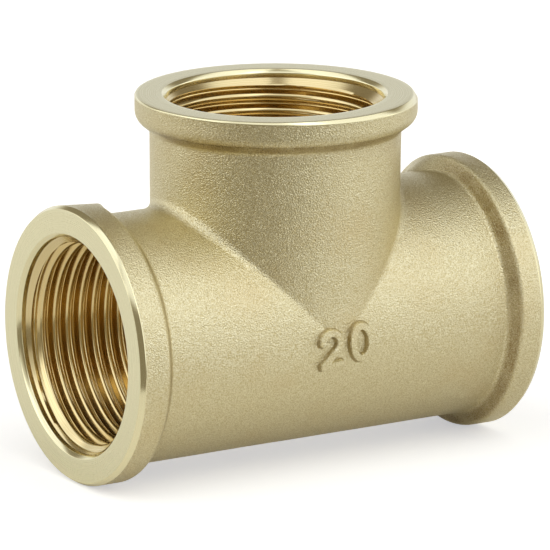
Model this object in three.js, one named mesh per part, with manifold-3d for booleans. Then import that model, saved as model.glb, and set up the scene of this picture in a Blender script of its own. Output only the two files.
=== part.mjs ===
// Equal tee pipe fitting: one hot-forged brass body with three female G 3/4 ports (DN 20).
// Millimetres, +Z up. The run lies along X and the branch rises along +Z.
// z = 0 is the lowest line of the run's two collars, and the two axes cross above x = y = 0.
import * as THREE from "three";
import { mergeGeometries, mergeVertices } from "three/addons/utils/BufferGeometryUtils.js";
import Module from "manifold-3d";

// Overall size, from the point where the two axes cross to each end face.
const RUN_HALF = 28.7;
const BRANCH_HEIGHT = 28.2;

// Forged skin. Collar depths are measured from the end face.
const BARREL_R = 15.35;
const COLLAR_R = 17.15;
const COLLAR_LAND = 2.2; // where the collar's full radius starts to curve in
const LEFT_COLLAR = 5.0; // where the collar meets the barrel
const RIGHT_COLLAR = 4.1;
const BRANCH_COLLAR = 4.2;
const FILLET_R = 1.4; // rolling-ball fillet between run and branch

// Machined end face.
const FACE_R = 16.75;
const FACE_CHAMFER = 0.6;

// G 3/4 thread: 14 turns per inch, 55 degree Whitworth form with flats of a sixth of the pitch.
const PITCH = 25.4 / 14;
const MAJOR_R = 26.441 / 2;
const MINOR_R = 24.117 / 2;
const FLAT_SHARE = 1 / 6;
const FLANK_SHARE = 1 / 2 - FLAT_SHARE;
const THREAD_CORNERS = [
  -FLAT_SHARE / 2,
  FLAT_SHARE / 2,
  (1 - FLAT_SHARE) / 2,
  (1 + FLAT_SHARE) / 2,
]; // edges of the root and crest flats, as shares of a pitch from the middle of a root
const THREAD_END = 15.2; // depth of the last turn from the end face

// Entry of each port: opening chamfer, short counterbore, lead-in cone.
const OPENING_R = 13.75;
const OPENING_CHAMFER = 0.4;
const COUNTERBORE_R = 13.4;
const COUNTERBORE_DEPTH = 1.2;
const BORE_R = 11.9; // passage behind the threads

// Raised size numeral "20" on the front of the body.
const DIGIT_HEIGHT = 4.7;
const DIGIT_WIDTH = 3.1;
const DIGIT_GAP = 1.2;
const STROKE = 0.6;
const BOWL_START = THREE.MathUtils.degToRad(171); // ends of the round stroke of the 2
const BOWL_END = THREE.MathUtils.degToRad(-36);
const DIGIT_RISE = 0.35;
const MARK_X = 0.8; // centre of the mark from the crossing
const MARK_Z = -0.4;
const MARK_TILT = THREE.MathUtils.degToRad(5);

// Facets. All round features share the same divisions, a multiple of four. The rings of the ports are
// turned by half a facet and drawn round their true circle, so that a flat of each run collar lies on
// z = 0, as the trimmed parting line does on the real forging.
const SIDES = 32;
const HALF_FACET = Math.PI / SIDES;
const ARC_STEPS = 4;

const wasm = await Module();
wasm.setup();

// A closed three.js geometry as a manifold solid. Triangles that close up at a pole are dropped.
function solidOf(geometry) {
  geometry.deleteAttribute("normal");
  geometry.deleteAttribute("uv");
  const merged = mergeVertices(geometry, 1e-4);
  const corners = merged.index.array;
  const triVerts = [];
  for (let i = 0; i < corners.length; i += 3) {
    const [a, b, c] = corners.slice(i, i + 3);
    if (a !== b && b !== c && c !== a) triVerts.push(a, b, c);
  }
  const mesh = new wasm.Mesh({
    numProp: 3,
    vertProperties: merged.attributes.position.array,
    triVerts: new Uint32Array(triVerts),
  });
  return new wasm.Manifold(mesh);
}

function geometryOf(solid) {
  const mesh = solid.getMesh();
  const geometry = new THREE.BufferGeometry();
  geometry.setAttribute("position", new THREE.BufferAttribute(mesh.vertProperties, 3));
  geometry.setIndex(new THREE.BufferAttribute(mesh.triVerts, 1));
  const flat = geometry.toNonIndexed();
  flat.computeVertexNormals();
  return flat;
}

// Appends a skin through rows of points to a list of corner positions, two triangles per cell.
function skin(positions, rows) {
  for (let r = 0; r + 1 < rows.length; r++) {
    for (let i = 0; i + 1 < rows[r].length; i++) {
      const [a, b] = [rows[r][i], rows[r][i + 1]];
      const [c, d] = [rows[r + 1][i], rows[r + 1][i + 1]];
      positions.push(...a, ...d, ...b, ...a, ...c, ...d);
    }
  }
}

// Wall radius of the thread at a share of one pitch: root flat, flank, crest flat, flank.
function threadRadius(share) {
  const fromRoot = Math.abs(THREE.MathUtils.euclideanModulo(share + 0.5, 1) - 0.5);
  const down = THREE.MathUtils.clamp((fromRoot - FLAT_SHARE / 2) / FLANK_SHARE, 0, 1);
  return THREE.MathUtils.lerp(MAJOR_R, MINOR_R, down);
}

// The arms share one shape, drawn along +X with its angle counted from +Z. saddle gives how far an
// arm's barrel and bore stop short of the crossing, as a share of their radius.
const runSaddle = (angle) => Math.max(Math.cos(angle), 0);
const branchSaddle = (angle) => Math.abs(Math.cos(angle));
const ARMS = [
  { faceHeight: RUN_HALF, collar: RIGHT_COLLAR, saddle: runSaddle, turn: (g) => g },
  { faceHeight: RUN_HALF, collar: LEFT_COLLAR, saddle: runSaddle, turn: (g) => g.rotateZ(Math.PI) },
  {
    faceHeight: BRANCH_HEIGHT,
    collar: BRANCH_COLLAR,
    saddle: branchSaddle,
    turn: (g) => g.rotateY(-Math.PI / 2),
  },
];

// Outside of an arm as [height, radius], from the fillet's edge up the barrel and over the collar.
function outerLine({ faceHeight, collar, saddle }, angle) {
  const roundedBack = new THREE.EllipseCurve(
    faceHeight - COLLAR_LAND,
    BARREL_R,
    collar - COLLAR_LAND,
    COLLAR_R - BARREL_R,
    Math.PI,
    Math.PI / 2,
    true,
  );
  return [
    [(BARREL_R + FILLET_R) * saddle(angle), BARREL_R],
    ...roundedBack.getPoints(ARC_STEPS).map((p) => p.toArray()),
    [faceHeight - FACE_CHAMFER, COLLAR_R],
    [faceHeight, FACE_R],
  ];
}

// Inside of an arm, from the opening down to the crossing. The thread's points climb one pitch per
// turn and are held at its two end planes, where the ones beyond close up into one point.
function innerLine({ faceHeight, saddle }, angle) {
  const high = faceHeight - COUNTERBORE_DEPTH;
  const low = faceHeight - THREAD_END;
  const climb = angle / (2 * Math.PI);
  const turns = Math.ceil((high - low) / PITCH) + 1;
  const thread = [];
  for (let turn = turns; turn > -1; turn--) {
    for (const corner of THREAD_CORNERS) {
      const height = THREE.MathUtils.clamp(low + PITCH * (turn - corner + climb - 1), low, high);
      const leadIn = COUNTERBORE_R - (high - height);
      const wall = threadRadius((height - low) / PITCH - climb);
      thread.push([height, Math.max(wall, leadIn)]);
    }
  }
  return [
    [faceHeight, OPENING_R],
    [faceHeight - OPENING_CHAMFER, COUNTERBORE_R],
    [high, COUNTERBORE_R],
    ...thread,
    [low, BORE_R],
    [BORE_R * saddle(angle), BORE_R],
  ];
}

// The first and last points of a line lie on the saddles, which keep the divisions of their neighbours.
function armGeometry(arm) {
  const rows = [];
  for (let column = 0; column <= SIDES; column++) {
    const angle = (2 * Math.PI * column) / SIDES;
    const line = [...outerLine(arm, angle), ...innerLine(arm, angle)];
    const row = line.map(([height, radius], i) => {
      const onSaddle = i === 0 || i === line.length - 1;
      const turned = onSaddle ? angle : angle + HALF_FACET;
      const reach = onSaddle ? radius : radius / Math.cos(HALF_FACET);
      return [height, -reach * Math.sin(turned), reach * Math.cos(turned)];
    });
    rows.push(row);
  }
  const positions = [];
  skin(positions, rows);
  const geometry = new THREE.BufferGeometry();
  geometry.setAttribute("position", new THREE.Float32BufferAttribute(positions, 3));
  return arm.turn(geometry);
}

// Fillet in the crook between run and branch, on the +X side. A ball of radius FILLET_R rolls on both
// barrels, so its centre stays BARREL_R + FILLET_R away from both axes.
function filletGeometry() {
  const rows = [];
  for (let i = 0; i <= SIDES / 2; i++) {
    const angle = Math.PI * ((2 * i) / SIDES - 0.5);
    const [sin, cos] = [Math.sin(angle), Math.cos(angle)];
    const row = [];
    for (let step = 0; step <= ARC_STEPS; step++) {
      const share = step / ARC_STEPS;
      const towards = new THREE.Vector3(-cos * share, -sin, -cos * (1 - share)).setLength(FILLET_R);
      const centre = new THREE.Vector3(cos, sin, cos).multiplyScalar(BARREL_R + FILLET_R);
      row.push(centre.add(towards).toArray());
    }
    rows.push(row);
  }
  const positions = [];
  skin(positions, rows);
  const geometry = new THREE.BufferGeometry();
  geometry.setAttribute("position", new THREE.Float32BufferAttribute(positions, 3));
  return geometry;
}

// A stroke of even width along a line of points, with mitred corners.
function strokeShape(points) {
  const ways = points.slice(1).map((point, i) => point.clone().sub(points[i]).normalize());
  const edge = (side) =>
    points.map((point, i) => {
      const into = ways[Math.max(i - 1, 0)];
      const out = ways[Math.min(i, ways.length - 1)];
      const across = new THREE.Vector2(-into.y - out.y, into.x + out.x);
      const mitre = STROKE / 2 / (1 + into.dot(out));
      return across.multiplyScalar(side * mitre).add(point);
    });
  return new THREE.Shape([...edge(1), ...edge(-1).reverse()]);
}

// Numeral 2: a bowl, a slanting neck and a foot.
function twoShape() {
  const bowl = (DIGIT_WIDTH - STROKE) / 2;
  const foot = (STROKE - DIGIT_HEIGHT) / 2;
  const line = new THREE.Path();
  line.absarc(0, -foot - bowl, bowl, BOWL_START, BOWL_END, true);
  line.lineTo(-bowl, foot);
  line.lineTo(DIGIT_WIDTH / 2, foot);
  return strokeShape(line.getPoints(ARC_STEPS));
}

// Numeral 0: an oval ring.
function zeroShape() {
  const [across, up] = [DIGIT_WIDTH / 2, DIGIT_HEIGHT / 2];
  const shape = new THREE.Shape();
  shape.absellipse(0, 0, across, up, 0, 2 * Math.PI);
  const hole = new THREE.Path();
  hole.absellipse(0, 0, across - STROKE, up - STROKE, 0, 2 * Math.PI, true);
  shape.holes.push(hole);
  return shape;
}

// A numeral as a raised pad on the front, grown out of the wall below it.
function digitSolid(shape, offset) {
  const root = (BARREL_R + BORE_R) / 2;
  const depth = BARREL_R + DIGIT_RISE - root;
  const pad = new THREE.ExtrudeGeometry(shape, { depth, bevelEnabled: false, curveSegments: ARC_STEPS });
  pad.translate(offset, 0, root).rotateZ(MARK_TILT).rotateX(Math.PI / 2);
  return solidOf(pad.translate(MARK_X, 0, MARK_Z));
}

// The three arms and two fillets meet edge to edge, so together they close into one body.
function bodyGeometry() {
  const surface = mergeGeometries([
    ...ARMS.map(armGeometry),
    filletGeometry(),
    filletGeometry().rotateZ(Math.PI),
  ]);
  const digitStep = (DIGIT_WIDTH + DIGIT_GAP) / 2;
  return geometryOf(
    solidOf(surface)
      .add(digitSolid(twoShape(), -digitStep))
      .add(digitSolid(zeroShape(), digitStep)),
  );
}

const brass = new THREE.MeshStandardMaterial({ color: 0xc2b488, metalness: 0.9, roughness: 0.45 });
const body = new THREE.Mesh(bodyGeometry(), brass);
body.name = "tee_body";
body.position.z = COLLAR_R;

const tee = new THREE.Group();
tee.add(body);

export default tee;
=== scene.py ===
"""Looks of the brass tee: a shot-blasted forging with machined faces and threads, in a white studio.

The CAD node is replaced by one closed mesh of the same sizes, with rounded edges, full thread turns and
the slight waviness of a forging. Shapes are worked out in millimetres, from the crossing of the axes.
"""

import math
from dataclasses import dataclass
from typing import Callable

import bpy
import numpy as np
from mathutils import Matrix, Vector, noise

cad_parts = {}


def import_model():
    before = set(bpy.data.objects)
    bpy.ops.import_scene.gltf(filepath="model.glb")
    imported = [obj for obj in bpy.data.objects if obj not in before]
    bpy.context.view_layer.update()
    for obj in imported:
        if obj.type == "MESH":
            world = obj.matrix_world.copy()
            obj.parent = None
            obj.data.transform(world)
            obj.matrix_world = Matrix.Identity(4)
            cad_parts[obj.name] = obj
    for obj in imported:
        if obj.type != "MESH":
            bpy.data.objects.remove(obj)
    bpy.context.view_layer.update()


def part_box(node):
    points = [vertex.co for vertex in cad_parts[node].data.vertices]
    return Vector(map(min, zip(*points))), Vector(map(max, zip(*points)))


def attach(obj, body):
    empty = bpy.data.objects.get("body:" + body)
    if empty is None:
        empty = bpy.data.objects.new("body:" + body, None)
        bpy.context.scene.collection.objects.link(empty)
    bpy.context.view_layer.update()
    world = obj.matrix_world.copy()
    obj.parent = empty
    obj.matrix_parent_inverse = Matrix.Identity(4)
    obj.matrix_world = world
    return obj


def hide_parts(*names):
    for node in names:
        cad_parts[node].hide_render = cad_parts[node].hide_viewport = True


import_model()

# ---------------------------------------------------------------- sizes, in millimetres
MM = 0.001
_, box_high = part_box("tee_body")
RUN_HALF = box_high.x / MM
COLLAR_R = box_high.y / MM
AXIS_Z = COLLAR_R  # height of the run's axis over the ground
BRANCH_HEIGHT = box_high.z / MM - AXIS_Z

BARREL_R = COLLAR_R - 1.8
FILLET_R = 1.4
FACE_R = COLLAR_R - 0.4
CHAMFER_SLOPE = 0.4 / 0.6  # radius gained per millimetre of depth on the outer chamfer
FLASH_Y = 4.2  # where the trimmed flash left the collars of the run uneven, and how wide
FLASH_WIDTH = 3.2

PITCH = 25.4 / 14
MAJOR_R = 26.441 / 2
MINOR_R = 24.6 / 2
ROOT_FLAT = PITCH / 6
FLANK_SLOPE = math.tan(math.radians(27.5))
THREAD_END = 15.2
OPENING_R = 13.8
OPENING_CHAMFER = 0.45
COUNTERBORE_R = 13.35
COUNTERBORE_DEPTH = 1.05
LEAD_SLOPE = 1.1  # radius lost per millimetre of depth where the thread begins
BORE_R = 11.9

# Lengths from a corner, each way, over which it is rounded.
FOOT_CUT = 0.35
LAND_CUT = 0.06
RIM_CUT = 0.05
MOUTH_CUT = 0.04
LIP_CUT = 0.08
ROOT_CUT = 0.14
CREST_CUT = 0.25

# Numbers of strips that round a corner, and of rows laid between two corners.
FOOT_STEPS = 4
SHOULDER_STEPS = 6
EDGE_STEPS = 2
THREAD_STEPS = 3
FILLET_STEPS = 8
BARREL_ROWS = 22
BACK_ROWS = 2
LAND_ROWS = 1
FACE_ROWS = 4
BORE_ROWS = 4
COLUMNS = 160  # points round an arm, a multiple of four
WELD_STEP = 1e-4  # points that round to the same multiple of this become one

WAVES = ((0.05, 7.0), (0.02, 2.6))  # (depth, length) of the forged skin's unevenness
SMOOTH_ANGLE = math.radians(35)  # edges sharper than this stay sharp

DIGIT_HEIGHT = 4.1  # of a numeral's centre line
DIGIT_WIDTH = 2.5
DIGIT_STEP = 4.3
DIGIT_RISE = 0.65
BOWL_START = math.radians(171)  # from the open end of the 2's bowl over its top to its neck
BOWL_END = math.radians(-36)
BOWL_POINTS = 14
ZERO_POINTS = 33
STROKE_TOP = 0.38  # half widths of a stroke at its top and at its foot
STROKE_FOOT = 0.66
SHADE_SHARE = 0.6  # share of a stroke's rise, from its foot, that gets painted shade
MARK_X = 0.8  # place of the numeral's middle, and its tilt
MARK_Z = -0.4
MARK_TILT = math.radians(5)
PATCH_SIZE = (9.6, 6.6)
PATCH_STEP = 0.085
PATCH_SINK = 0.03  # how far the patch's plain part lies under the skin
PATCH_BACK = BARREL_R - 1.2  # distance of its back from the plane of the axes

# the last material is the forged skin with painted shade, used at the feet of the numeral's strokes
FORGED, FACE, TURNED, THREAD, BORE, SHADED_SKIN = range(6)


@dataclass
class Arm:
    """One arm of the tee. Depths are measured from its face towards the crossing."""

    place: Callable  # gives the point at a height along the arm, a radius and an angle
    saddle: Callable  # how far the arm stops short of the crossing, as a share of its radius
    face: float  # distance of the face from the crossing
    collar: float  # depth of the collar's foot
    flank: float  # length of the collar's sloping back
    edge: float  # rounding between the back and the land
    first_crest: float  # depth at which the thread's crest starts from angle zero
    face_r: float = FACE_R
    land_r: float = COLLAR_R  # radius of the collar's land
    lean: float = 0.0  # how far the land's centre lies off the axis, and towards which angle
    lean_angle: float = 0.0
    fill: float = 0.0  # how much deeper the foot lies where flash was trimmed
    shift: float = 0.0  # and how much deeper and lower the shoulder lies there
    droop: float = 0.0


def stacked(*coordinates):
    return np.stack(np.broadcast_arrays(*coordinates), -1)


def run_saddle(angle):
    return np.maximum(np.cos(angle), 0)


def branch_saddle(angle):
    return np.abs(np.cos(angle))


def place_right(h, r, angle):
    return stacked(h, -r * np.sin(angle), r * np.cos(angle))


def place_left(h, r, angle):
    return stacked(-h, r * np.sin(angle), r * np.cos(angle))


def place_branch(h, r, angle):
    return stacked(-r * np.cos(angle), -r * np.sin(angle), h)


ARMS = [
    Arm(place_right, run_saddle, RUN_HALF, collar=4.5, flank=1.2, edge=0.35, first_crest=3.4,
        fill=2.3, shift=0.4),
    Arm(place_left, run_saddle, RUN_HALF, collar=5.2, flank=1.3, edge=0.45, first_crest=3.4,
        fill=2.15, shift=2.3, droop=0.43),
    Arm(place_branch, branch_saddle, BRANCH_HEIGHT, collar=4.3, flank=1.5, edge=0.8, first_crest=2.66,
        face_r=FACE_R + 0.25, land_r=COLLAR_R + 0.18, lean=0.22, lean_angle=math.radians(190)),
]


# ---------------------------------------------------------------- outlines, as rows of (height, radius)
def pair(h, r):
    return stacked(np.asarray(h, float), np.asarray(r, float))


def ring(h, r, angle):
    """A row at one height and one radius all round."""
    return pair(h, np.full_like(angle, r))


def corner(before, at, after, cut, steps):
    """Rows that round the corner at `at`, starting and ending the length `cut` away from it."""
    def towards(other):
        way = other - at
        return at + way * (cut / np.linalg.norm(way, axis=-1, keepdims=True))

    start, end = towards(before), towards(after)
    shares = np.linspace(0, 1, steps + 1)
    return [start * (1 - s) ** 2 + at * 2 * s * (1 - s) + end * s * s for s in shares]


def between(start, end, count):
    """Rows strictly between two rows."""
    return [start + (end - start) * (i / (count + 1)) for i in range(1, count + 1)]


def outer_rows(arm, angle):
    """From the fillet's edge along the barrel, over the collar and its chamfer, and across the face.

    The second list gives for each row the material of the strip that ends there.
    """
    y = arm.place(0, BARREL_R, angle)[:, 1]
    flash = np.exp(-(((y - FLASH_Y) / FLASH_WIDTH) ** 2)) * (np.cos(angle) > 0)
    land_r = arm.land_r + arm.lean * np.cos(angle - arm.lean_angle)
    foot_h = arm.face - arm.collar - arm.fill * flash
    shoulder_h = arm.face - arm.collar + arm.flank - arm.shift * flash
    foot_r = BARREL_R + (land_r - COLLAR_R) / 2  # the barrel follows the land by half
    edge_depth = (land_r - arm.face_r) / CHAMFER_SLOPE
    seam = pair((BARREL_R + FILLET_R) * arm.saddle(angle), BARREL_R)
    foot = pair(np.maximum(foot_h, seam[:, 0] + FOOT_CUT), foot_r)
    shoulder = pair(shoulder_h, land_r - arm.droop * flash)
    chamfer = pair(arm.face - edge_depth, land_r)
    rim = ring(arm.face, arm.face_r, angle)
    mouth = ring(arm.face, OPENING_R, angle)
    rows = [seam] + between(seam, foot, BARREL_ROWS)
    rows += corner(seam, foot, shoulder, FOOT_CUT, FOOT_STEPS)
    rows += between(rows[-1], shoulder, BACK_ROWS)
    rows += corner(foot, shoulder, chamfer, arm.edge, SHOULDER_STEPS)
    rows += between(shoulder, chamfer, LAND_ROWS)
    rows += corner(shoulder, chamfer, rim, LAND_CUT, EDGE_STEPS)
    forged = len(rows) - EDGE_STEPS
    rows += corner(chamfer, rim, mouth, RIM_CUT, EDGE_STEPS)
    turned = len(rows)
    rows += between(rim, mouth, FACE_ROWS)
    marks = [FORGED] * forged + [TURNED] * (turned - forged) + [FACE] * (len(rows) - turned)
    return rows, marks


def thread_outline():
    """One turn of the thread: shares of the pitch from the middle of a root, and the radii there."""
    crest_half = PITCH / 2 - ROOT_FLAT / 2 - (MAJOR_R - MINOR_R) * FLANK_SLOPE
    edges = [(ROOT_FLAT / 2, MAJOR_R), (PITCH / 2 - crest_half, MINOR_R)]
    edges += [(PITCH - t, r) for t, r in reversed(edges)]
    edges = [np.array(edge) for edge in edges]
    lead, trail = edges[-1] - (PITCH, 0), edges[0] + (PITCH, 0)
    line = [lead, *edges, trail]
    rounded = []
    for i, cut in enumerate((ROOT_CUT, CREST_CUT, CREST_CUT, ROOT_CUT), 1):
        rounded += corner(line[i - 1], line[i], line[i + 1], cut, THREAD_STEPS)
    shares, radii = np.array(rounded).T
    return shares / PITCH, radii


THREAD_SHARES, THREAD_RADII = thread_outline()


def thread_rows(arm, angle):
    """The thread's turns, which climb one pitch round the arm and are cut off by two end planes.

    climb is where the middle of a root lies at each angle, in pitches from the lower plane. A crest lies
    half a pitch from it.
    """
    high_h = arm.face - COUNTERBORE_DEPTH
    low_h = arm.face - THREAD_END
    climb = angle / (2 * math.pi) + (THREAD_END - arm.first_crest) / PITCH + 0.5
    highest = math.ceil((high_h - low_h) / PITCH) - math.floor(climb[0])
    lowest = -math.floor(climb[-1]) - 1
    rows = []
    for turn in range(highest, lowest - 1, -1):
        for share in THREAD_SHARES[::-1]:
            h = np.clip(low_h + PITCH * (turn + share + climb), low_h, high_h)
            wall = np.interp(((h - low_h) / PITCH - climb) % 1, THREAD_SHARES, THREAD_RADII, period=1)
            rows.append(pair(h, np.maximum(wall, COUNTERBORE_R - LEAD_SLOPE * (high_h - h))))
    return rows


def inner_rows(arm, angle):
    """From the opening down through counterbore, thread and passage to the crossing, marked likewise."""
    rim = ring(arm.face, arm.face_r, angle)
    mouth = ring(arm.face, OPENING_R, angle)
    lip = ring(arm.face - OPENING_CHAMFER, COUNTERBORE_R, angle)
    ledge = ring(arm.face - COUNTERBORE_DEPTH, COUNTERBORE_R, angle)
    bottom = ring(arm.face - THREAD_END, BORE_R, angle)
    seam = pair(BORE_R * arm.saddle(angle), BORE_R)
    rows = corner(rim, mouth, lip, MOUTH_CUT, EDGE_STEPS)
    rows += corner(mouth, lip, ledge, LIP_CUT, EDGE_STEPS)
    rows.append(ledge)
    marks = [FACE] + [TURNED] * (len(rows) - 1)
    thread = thread_rows(arm, angle)
    passage = [bottom, *between(bottom, seam, BORE_ROWS), seam]
    marks += [THREAD] * len(thread) + [BORE] * len(passage)
    return rows + thread + passage, marks


# ---------------------------------------------------------------- surfaces
class Skin:
    """Collects grids of quads, then welds them into one closed mesh."""

    def __init__(self):
        self.corners = []
        self.marks = []

    def add(self, grid, marks):
        """Adds rows x columns x 3 points. marks gives each strip's material, or each quad's."""
        a, b = grid[:-1, :-1], grid[:-1, 1:]
        c, d = grid[1:, :-1], grid[1:, 1:]
        quads = np.stack([a, b, d, c], 2)
        self.corners.append(quads.reshape(-1, 4, 3))
        marks = np.asarray(marks).reshape(len(grid) - 1, -1)
        self.marks.append(np.broadcast_to(marks, a.shape[:2]).ravel())

    def welded(self):
        """Points, faces and marks of all grids together, without the faces that shrank to nothing."""
        corners = np.concatenate(self.corners).reshape(-1, 3)
        keys = np.round(corners / WELD_STEP).astype(np.int64)
        _, first, inverse = np.unique(keys, axis=0, return_index=True, return_inverse=True)
        faces, marks = [], []
        for face, mark in zip(inverse.reshape(-1, 4).tolist(), np.concatenate(self.marks).tolist()):
            outline = [v for i, v in enumerate(face) if v != face[i - 1]]
            if len(set(outline)) > 2:
                faces.append(outline)
                marks.append(mark)
        return corners[first] + np.array([0, 0, AXIS_Z]), faces, marks

    def piece(self, name, materials):
        points, faces, marks = self.welded()
        mesh = bpy.data.meshes.new(name)
        mesh.from_pydata((points * MM).tolist(), [], faces)
        for material in materials:
            mesh.materials.append(material)
        mesh.polygons.foreach_set("material_index", marks)
        mesh.update()
        roughen(mesh)
        piece = bpy.data.objects.new(name, mesh)
        bpy.context.scene.collection.objects.link(piece)
        return piece


def roughen(mesh):
    """Lets the forged skin sink in unevenly towards the crossing, as the worn die left it."""
    crossing = Vector((0, 0, AXIS_Z * MM))
    forged = {v for p in mesh.polygons if p.material_index in (FORGED, SHADED_SKIN) for v in p.vertices}
    for index in forged:
        vertex = mesh.vertices[index]
        depth = sum(most * (0.5 + 0.5 * noise.noise(vertex.co / (MM * length))) for most, length in WAVES)
        way = vertex.co - crossing
        vertex.co = vertex.co - way.normalized() * depth * MM


def arm_grid(arm):
    angle = np.linspace(0, 2 * math.pi, COLUMNS + 1)
    outer, outer_marks = outer_rows(arm, angle)
    inner, inner_marks = inner_rows(arm, angle)
    rows = np.stack(outer + inner)
    grid = arm.place(rows[..., 0], rows[..., 1], angle[None, :])
    return grid, (outer_marks + inner_marks)[1:]


def fillet_grid(sign):
    """Skin left by a ball rolling in the crook between branch and run, on the right for sign 1."""
    angle = np.linspace(-math.pi / 2, math.pi / 2, COLUMNS // 2 + 1)
    sin, cos = np.sin(angle), np.cos(angle)
    share = np.linspace(0, 1, FILLET_STEPS + 1)[:, None]
    way = np.stack([-cos * share, -sin * np.ones_like(share), -cos * (1 - share)], -1)
    way *= FILLET_R / np.linalg.norm(way, axis=-1, keepdims=True)
    centre = np.stack([cos, sin, cos], -1) * (BARREL_R + FILLET_R)
    return (centre + way) * np.array([sign, sign, 1])


def plain_tee(materials):
    skin = Skin()
    for arm in ARMS:
        skin.add(*arm_grid(arm))
    for sign in (1, -1):
        skin.add(fillet_grid(sign), [FORGED] * FILLET_STEPS)
    return skin.piece("tee", materials)


# ---------------------------------------------------------------- raised size numeral
def two_line():
    """Centre line of the numeral 2: bowl, slanting neck and foot."""
    bowl = DIGIT_WIDTH / 2
    top = DIGIT_HEIGHT / 2
    turn = np.linspace(BOWL_START, BOWL_END, BOWL_POINTS)
    arc = np.stack([bowl * np.cos(turn), top - bowl + bowl * np.sin(turn)], -1)
    return np.concatenate([arc, [(-bowl, -top), (bowl, -top)]])


def zero_line():
    """Centre line of the numeral 0, an ellipse."""
    turn = np.linspace(0, 2 * math.pi, ZERO_POINTS)
    return np.stack([DIGIT_WIDTH / 2 * np.cos(turn), DIGIT_HEIGHT / 2 * np.sin(turn)], -1)


def distance_to(line, across, up):
    """Distance from each point (across, up) to the nearest segment of a line."""
    point = np.stack([across, up], -1)
    nearest = np.full(across.shape, np.inf)
    for start, end in zip(line[:-1], line[1:]):
        way = end - start
        share = np.clip((point - start) @ way / (way @ way), 0, 1)
        nearest = np.minimum(nearest, np.linalg.norm(point - start - share[..., None] * way, axis=-1))
    return nearest


def stroke_share(across, up):
    """How far up the flank of a stroke each point lies, from 0 on plain skin to 1 on the stroke's top."""
    away = np.minimum(
        distance_to(two_line(), across + DIGIT_STEP / 2, up),
        distance_to(zero_line(), across - DIGIT_STEP / 2, up),
    )
    return np.clip((STROKE_FOOT - away) / (STROKE_FOOT - STROKE_TOP), 0, 1)


def skin_distance(x, z):
    """How far the plain body's front lies from the plane of the axes."""
    off_axis = np.where(z > 0, np.minimum(np.abs(x), z), np.abs(z))
    return np.sqrt(BARREL_R**2 - off_axis**2)


def mark_patch(materials):
    """A closed pad whose front lies just under the body's skin and rises above it at the strokes."""
    width, height = PATCH_SIZE
    across = np.linspace(-width / 2, width / 2, round(width / PATCH_STEP))[None, :]
    up = np.linspace(-height / 2, height / 2, round(height / PATCH_STEP))[:, None]
    across, up = np.broadcast_arrays(across, up)
    share = stroke_share(across, up)
    rise = DIGIT_RISE * share * share * (3 - 2 * share)
    x = MARK_X + across * math.cos(MARK_TILT) - up * math.sin(MARK_TILT)
    z = MARK_Z + across * math.sin(MARK_TILT) + up * math.cos(MARK_TILT)
    front = np.stack([x, PATCH_SINK - rise - skin_distance(x, z), z], -1)
    back = np.stack([x, np.full_like(x, -PATCH_BACK), z], -1)
    skin = Skin()
    sides = [
        (back[0], front[0]),
        (front[-1], back[-1]),
        (front[:, 0], back[:, 0]),
        (back[:, -1], front[:, -1]),
    ]
    for grid in (back[::-1], *map(np.stack, sides)):
        skin.add(grid, [FORGED] * (len(grid) - 1))
    # painted shade: brown at the feet of the strokes, where shade falls between them
    skin.add(front, np.where(share[:-1, :-1] < SHADE_SHARE, SHADED_SKIN, FORGED))
    return skin.piece("mark", materials)


def united(body, pad):
    """Joins the pad to the body by a boolean and removes the pad."""
    join = body.modifiers.new("join", "BOOLEAN")
    join.operation = "UNION"
    join.solver = "MANIFOLD"
    join.object = pad
    made = bpy.data.meshes.new_from_object(body.evaluated_get(bpy.context.evaluated_depsgraph_get()))
    body.modifiers.clear()
    body.data = made
    bpy.data.objects.remove(pad)
    return body


# ---------------------------------------------------------------- materials, lengths in millimetres
SKIN_DARK = (0.59, 0.50, 0.265)
SKIN_PALE = (0.80, 0.735, 0.50)
SKIN_WARM = (0.62, 0.48, 0.24)
# painted shade: the brown mixed in on the collars' sloping backs and at the feet of the numeral's strokes
SHADE_BROWN = (0.32, 0.23, 0.10)
# painted shade and reflection: the brown that stands in for shade and interreflection down in the
# thread's grooves
GROOVE_SHADE = (0.74, 0.56, 0.25)

GRAIN_SCALE = 6.5  # how many times a pattern changes in a millimetre
DIMPLE_SCALE = 4.6
WARMTH_SCALE = 0.11
BLOTCH_SCALE = 0.35
GRAIN_SPAN = (0.35, 0.65)  # values of a pattern at which the looks start and stop to change with it
WARMTH_SPAN = (0.5, 0.75)
BLOTCH_SPAN = (0.35, 0.6)
TOOL_SPAN = (0.3, 0.7)
GRAIN_DEPTH = 0.075
DIMPLE_SHARE = 0.6  # depth of the dimples beside the grain's
SKIN_ROUGHNESS = (0.39, 0.28)  # in the grain's pits and on its peaks
TOOL_ROUGHNESS = (1.2, 0.85)  # in tool marks and between them, times the surface's own
MOST_WARMTH = 0.35

STROKE_SHADE = 0.6  # shares of the full painted shade: on the numeral's flanks,
PIT_SHADE = (0.95, 0.5)  # in the grain's pits and on its peaks,
BLOTCH_SHADE = (0.5, 1.0)  # between blotches and in them,
TRIMMED_SHADE = 0.1  # and at the tops of the run's collars, where the flash was trimmed
TRIMMED_Y = (-2.0, 2.0)
TRIMMED_Z = (12.0, 14.0)

# Distances over which the painted crease shade sets in: under the land, over the barrel and from the
# crossing.
SHADE_UNDER_LAND = (0.1, 0.5)
SHADE_OVER_BARREL = (0.0, 0.5)
SHADE_ALONG = (22.0, 22.6)

# Distances over which the painted shade and reflection brown of the grooves sets in: past the crests, and
# below the branch's face.
GROOVE_PAST_CREST = (0.04, 0.25)
GROOVE_BELOW_FACE = (1.7, 2.4)


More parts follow.
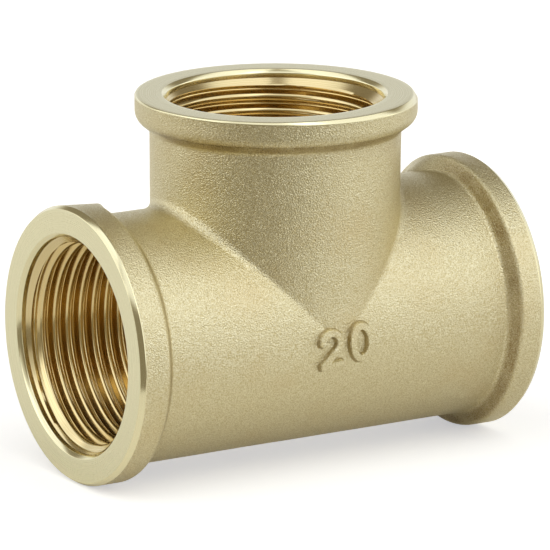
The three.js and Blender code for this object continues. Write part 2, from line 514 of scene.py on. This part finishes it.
def node(tree, kind, inputs=(), **settings):
    """Adds a node. inputs pairs a socket's name or number with a value or another node's output."""
    made = tree.nodes.new("ShaderNode" + kind)
    for key, value in settings.items():
        setattr(made, key, value)
    for key, value in dict(inputs).items():
        if isinstance(value, bpy.types.NodeSocket):
            tree.links.new(value, made.inputs[key])
        else:
            made.inputs[key].default_value = value
    return made


def math_node(tree, operation, first, second=0.0, third=0.0):
    return node(tree, "Math", {0: first, 1: second, 2: third}, operation=operation).outputs[0]


def product(tree, first, second):
    return math_node(tree, "MULTIPLY", first, second)


def ranged(tree, value, start, end, at_start=0.0, at_end=1.0):
    """Value that goes evenly from at_start to at_end while another goes from start to end."""
    inputs = {"Value": value, "From Min": start, "From Max": end, "To Min": at_start, "To Max": at_end}
    return node(tree, "MapRange", inputs).outputs[0]


def mixed(tree, factor, first, second):
    """Colour between two colours, which are the Mix node's sockets 6 and 7."""
    blend = node(tree, "Mix", data_type="RGBA")
    tree.links.new(factor, blend.inputs["Factor"])
    for socket, color in ((blend.inputs[6], first), (blend.inputs[7], second)):
        if isinstance(color, bpy.types.NodeSocket):
            tree.links.new(color, socket)
        else:
            socket.default_value = (*color, 1)
    return blend.outputs[2]


def metal(name):
    material = bpy.data.materials.new(name)
    material.use_nodes = True
    shader = material.node_tree.nodes["Principled BSDF"]
    shader.inputs["Metallic"].default_value = 1
    return material, material.node_tree, shader


def place_in_mm(tree):
    """Position in millimetres from the crossing of the axes."""
    place = node(tree, "TexCoord").outputs["Object"]
    shifted = node(tree, "VectorMath", {0: place, 1: (0, 0, -AXIS_Z * MM)}, operation="ADD").outputs[0]
    return node(tree, "VectorMath", {0: shifted, "Scale": 1 / MM}, operation="SCALE").outputs[0]


def port_place(tree):
    """Distance from the axis of the nearest port, and distance along it from the crossing."""
    x, y, z = node(tree, "SeparateXYZ", {0: place_in_mm(tree)}).outputs
    along_run = math_node(tree, "ABSOLUTE", x)
    on_run = math_node(tree, "GREATER_THAN", along_run, z)
    other = node(tree, "Mix", {"Factor": on_run, "A": x, "B": z}).outputs[0]
    squares = math_node(tree, "MULTIPLY_ADD", other, other, product(tree, y, y))
    radius = math_node(tree, "SQRT", squares)
    height = node(tree, "Mix", {"Factor": on_run, "A": z, "B": along_run}).outputs[0]
    return radius, height


# painted shade in the crease between collar and barrel
def crease_shade(tree, grain):
    """Painted shade: brown on the sloping backs of the collars, where shade falls in the crease, uneven
    with blotches and the grain, except where flash was trimmed at the top.
    """
    place = place_in_mm(tree)
    _, y, z = node(tree, "SeparateXYZ", {0: place}).outputs
    radius, along = port_place(tree)
    under_land = ranged(tree, radius, *(COLLAR_R - under for under in SHADE_UNDER_LAND))
    over_barrel = ranged(tree, radius, *(BARREL_R + over for over in SHADE_OVER_BARREL))
    back = product(tree, product(tree, under_land, over_barrel), ranged(tree, along, *SHADE_ALONG))
    trimmed = product(tree, ranged(tree, z, *TRIMMED_Z), ranged(tree, y, *TRIMMED_Y))
    left = product(tree, back, ranged(tree, trimmed, 0.0, 1.0, 1.0, TRIMMED_SHADE))
    blotch = node(tree, "TexNoise", {"Vector": place, "Scale": BLOTCH_SCALE, "Detail": 3.0}).outputs[0]
    uneven = product(tree, left, ranged(tree, blotch, *BLOTCH_SPAN, *BLOTCH_SHADE))
    return product(tree, uneven, ranged(tree, grain, *GRAIN_SPAN, *PIT_SHADE))


def forged_material(name, painted_shade=0.0):
    """Shot-blasted skin: a fine dimpled grain, paler on its peaks, with faint patches left by heat.
    Painted shade is mixed in brown on the collars' sloping backs, and all over by the given share.
    """
    material, tree, shader = metal(name)
    place = place_in_mm(tree)
    fine = {"Vector": place, "Scale": GRAIN_SCALE, "Detail": 1.0, "Roughness": 0.6}
    grain = node(tree, "TexNoise", fine).outputs[0]
    dimple = node(tree, "TexVoronoi", {"Vector": place, "Scale": DIMPLE_SCALE}).outputs["Distance"]
    warmth = node(tree, "TexNoise", {"Vector": place, "Scale": WARMTH_SCALE, "Detail": 2.0}).outputs[0]
    plain = mixed(tree, ranged(tree, grain, *GRAIN_SPAN), SKIN_DARK, SKIN_PALE)
    patchy = mixed(tree, ranged(tree, warmth, *WARMTH_SPAN, 0.0, MOST_WARMTH), plain, SKIN_WARM)
    # painted shade: brown mixed in on the collars' backs and, by the given share, all over this material
    shaded_color = mixed(tree, math_node(tree, "ADD", crease_shade(tree, grain), painted_shade), patchy, SHADE_BROWN)
    height = math_node(tree, "MULTIPLY_ADD", dimple, DIMPLE_SHARE, grain)
    bump = node(tree, "Bump", {"Height": height, "Strength": 1.0, "Distance": GRAIN_DEPTH * MM})
    tree.links.new(shaded_color, shader.inputs["Base Color"])
    tree.links.new(ranged(tree, grain, *GRAIN_SPAN, *SKIN_ROUGHNESS), shader.inputs["Roughness"])
    tree.links.new(bump.outputs[0], shader.inputs["Normal"])
    return material


def turned_material(name, pale, dark, roughness, spacing, depth, on_face=False):
    """Machined brass with tool marks round the port, spaced along its axis or, on a face, its radius."""
    material, tree, shader = metal(name)
    radius, height = port_place(tree)
    lines = {"W": radius if on_face else height, "Scale": 1 / spacing, "Detail": 2.0}
    marks = node(tree, "TexNoise", lines, noise_dimensions="1D").outputs[0]
    tone = mixed(tree, ranged(tree, marks, *TOOL_SPAN), dark, pale)
    rough = ranged(tree, marks, *TOOL_SPAN, *(roughness * share for share in TOOL_ROUGHNESS))
    bump = node(tree, "Bump", {"Height": marks, "Strength": 1.0, "Distance": depth * MM})
    tree.links.new(tone, shader.inputs["Base Color"])
    tree.links.new(rough, shader.inputs["Roughness"])
    tree.links.new(bump.outputs[0], shader.inputs["Normal"])
    return material


def face_material():
    return turned_material("machined_face", pale=(0.86, 0.82, 0.57), dark=(0.81, 0.76, 0.51),
                           roughness=0.3, spacing=0.09, depth=0.002, on_face=True)


def edge_material():
    return turned_material("machined_edge", pale=(0.85, 0.79, 0.52), dark=(0.81, 0.74, 0.47),
                           roughness=0.16, spacing=0.08, depth=0.002)


def bore_material():
    return turned_material("drilled_bore", pale=(0.80, 0.64, 0.36), dark=(0.74, 0.57, 0.29),
                           roughness=0.26, spacing=0.15, depth=0.004)


def thread_material():
    """Freshly cut thread, pale on the crests and browner down in the grooves, where shade and
    interreflection are painted in.
    """
    material = turned_material("cut_thread", pale=(0.76, 0.64, 0.36), dark=(0.70, 0.56, 0.29),
                               roughness=0.17, spacing=0.07, depth=0.0015)
    tree = material.node_tree
    color = tree.nodes["Principled BSDF"].inputs["Base Color"]
    radius, height = port_place(tree)
    past_crest = ranged(tree, radius, *(MINOR_R + past for past in GROOVE_PAST_CREST))
    below_face = ranged(tree, height, *(BRANCH_HEIGHT - below for below in GROOVE_BELOW_FACE))
    # painted shade and reflection: browner in the roots of the thread
    groove_shade = product(tree, past_crest, below_face)
    tree.links.new(mixed(tree, groove_shade, color.links[0].from_socket, GROOVE_SHADE), color)
    return material


def tee_materials():
    """The six materials, in the order of the marks."""
    return [
        forged_material("forged_skin"),
        face_material(),
        edge_material(),
        thread_material(),
        bore_material(),
        # forged skin with painted shade all over, for the feet of the numeral's strokes
        forged_material("shaded_skin", STROKE_SHADE),
    ]


def tee():
    materials = tee_materials()
    body = united(plain_tee(materials), mark_patch(materials))
    with bpy.context.temp_override(object=body, active_object=body, selected_editable_objects=[body]):
        bpy.ops.object.shade_smooth_by_angle(angle=SMOOTH_ANGLE)
    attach(body, "root")
    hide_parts("tee_body")


# ---------------------------------------------------------------- floor, light and camera, in metres
AZIMUTH = math.radians(31.055)
ELEVATION = math.radians(14.483)
DISTANCE = 0.7605
LENS = 404.0  # focal length and sensor width, in millimetres
SENSOR = 36
AIM_UP = 0.00505  # the camera aims this far above the crossing, and to its right
AIM_RIGHT = 0.00003

TABLE = 4.0  # from the object to the table's far edges, and to its edge on the camera's side
TABLE_FRONT = 0.063
TABLE_COLOR = (0.83, 0.80, 0.73)
FLOOR_GLOW = (0.96, 1.0, 1.1)
FLOOR_SHINE = 0.06  # strength of the glow, which stands for the bright room
FLOOR_LIFT = 0.38  # more of it where the floor is seen directly, which brings it up to white

AMBIENT = 0.26
SHOWN = 1.1  # brightness of the surroundings where they are seen directly, a clear white
WALL_TINT = (1.0, 0.88, 0.64)
PANEL_TINT = (0.96, 0.98, 1.0)
PANEL_BRIGHT = 0.9  # brightness from which the light has the panels' tint


@dataclass
class Panel:
    """A soft light far from the object. Its angles are in degrees."""

    turn: float  # of its middle from the camera's side, positive to the camera's right
    half_width: float
    low: float  # height of its lower and upper edge over the horizon
    high: float
    soft: float  # width of its fading edges
    strength: float


PANELS = [
    Panel(turn=68, half_width=42, low=0, high=95, soft=14, strength=0.95),  # right side
    Panel(turn=-82, half_width=32, low=12, high=95, soft=10, strength=1.0),  # left side
    Panel(turn=0, half_width=180, low=64, high=95, soft=12, strength=0.12),  # ceiling
    Panel(turn=5, half_width=40, low=40, high=66, soft=12, strength=0.85),  # over the camera
    Panel(turn=-62, half_width=26, low=8, high=36, soft=8, strength=0.40),  # low on the left
    Panel(turn=180, half_width=70, low=-90, high=12, soft=14, strength=0.75),  # backdrop
]


def seen_directly(tree):
    return node(tree, "LightPath").outputs["Is Camera Ray"]


def floor():
    """Pale table, wide on three sides and ending in front of the object."""
    mesh = bpy.data.meshes.new("floor")
    corners = [(-TABLE, -TABLE_FRONT), (TABLE, -TABLE_FRONT), (TABLE, TABLE), (-TABLE, TABLE)]
    turn = Matrix.Rotation(-AZIMUTH, 3, "Z")
    mesh.from_pydata([turn @ Vector((x, y, 0)) for x, y in corners], [], [(0, 1, 2, 3)])
    ground = bpy.data.objects.new("floor", mesh)
    bpy.context.scene.collection.objects.link(ground)
    material = bpy.data.materials.new("white_floor")
    material.use_nodes = True
    tree = material.node_tree
    shader = tree.nodes["Principled BSDF"]
    shader.inputs["Base Color"].default_value = (*TABLE_COLOR, 1)
    shader.inputs["Roughness"].default_value = 0.9
    shader.inputs["Emission Color"].default_value = (*FLOOR_GLOW, 1)
    lift = math_node(tree, "MULTIPLY_ADD", seen_directly(tree), FLOOR_LIFT, FLOOR_SHINE)
    tree.links.new(lift, shader.inputs["Emission Strength"])
    mesh.materials.append(material)


def fade(tree, value, dark, bright):
    """Zero at dark and beyond, rising smoothly to one at bright."""
    inputs = {"Value": value, "From Min": dark, "From Max": bright}
    return node(tree, "MapRange", inputs, interpolation_type="SMOOTHSTEP").outputs[0]


def window(tree, value, start, end, soft):
    """One between start and end, falling to zero over soft beyond each."""
    return product(tree, fade(tree, value, start - soft, start), fade(tree, value, end + soft, end))


def world():
    """A studio: dim warm walls with bright white soft panels. Seen directly it is plain white."""
    sky = bpy.data.worlds.new("studio")
    bpy.context.scene.world = sky
    sky.use_nodes = True
    tree = sky.node_tree
    way = node(tree, "TexCoord").outputs["Generated"]
    turned = node(tree, "VectorRotate", {"Vector": way, "Angle": AZIMUTH}, rotation_type="Z_AXIS")
    across, ahead, up = node(tree, "SeparateXYZ", {0: turned.outputs[0]}).outputs
    turn = math_node(tree, "ARCTAN2", across, product(tree, ahead, -1.0))
    turn_degrees = product(tree, turn, math.degrees(1))
    rise_degrees = product(tree, math_node(tree, "ARCSINE", up), math.degrees(1))
    light = AMBIENT
    for panel in PANELS:
        off = math_node(tree, "SUBTRACT", turn_degrees, panel.turn)
        off = math_node(tree, "WRAP", off, 180.0, -180.0)
        wide = window(tree, off, -panel.half_width, panel.half_width, panel.soft)
        tall = window(tree, rise_degrees, panel.low, panel.high, panel.soft)
        light = math_node(tree, "MULTIPLY_ADD", product(tree, wide, tall), panel.strength, light)
    shown = node(tree, "Mix", {"Factor": seen_directly(tree), "A": light, "B": SHOWN}).outputs[0]
    tone = mixed(tree, ranged(tree, shown, AMBIENT, PANEL_BRIGHT), WALL_TINT, PANEL_TINT)
    tree.links.new(shown, tree.nodes["Background"].inputs["Strength"])
    tree.links.new(tone, tree.nodes["Background"].inputs["Color"])


def camera():
    level = math.cos(ELEVATION)
    look = Vector((math.sin(AZIMUTH) * level, math.cos(AZIMUTH) * level, -math.sin(ELEVATION)))
    right = Vector((math.cos(AZIMUTH), -math.sin(AZIMUTH), 0))
    crossing = Vector((0, 0, AXIS_Z * MM))
    data = bpy.data.cameras.new("camera")
    data.lens = LENS
    data.sensor_width = SENSOR
    data.clip_start = 0.01
    data.clip_end = 100
    eye = bpy.data.objects.new("camera", data)
    bpy.context.scene.collection.objects.link(eye)
    eye.location = crossing - look * DISTANCE
    target = crossing + right.cross(look) * AIM_UP + right * AIM_RIGHT
    eye.rotation_euler = (target - eye.location).to_track_quat("-Z", "Y").to_euler()
    bpy.context.scene.camera = eye


tee()
floor()
world()
camera()
bpy.context.scene.view_settings.view_transform = "Standard"
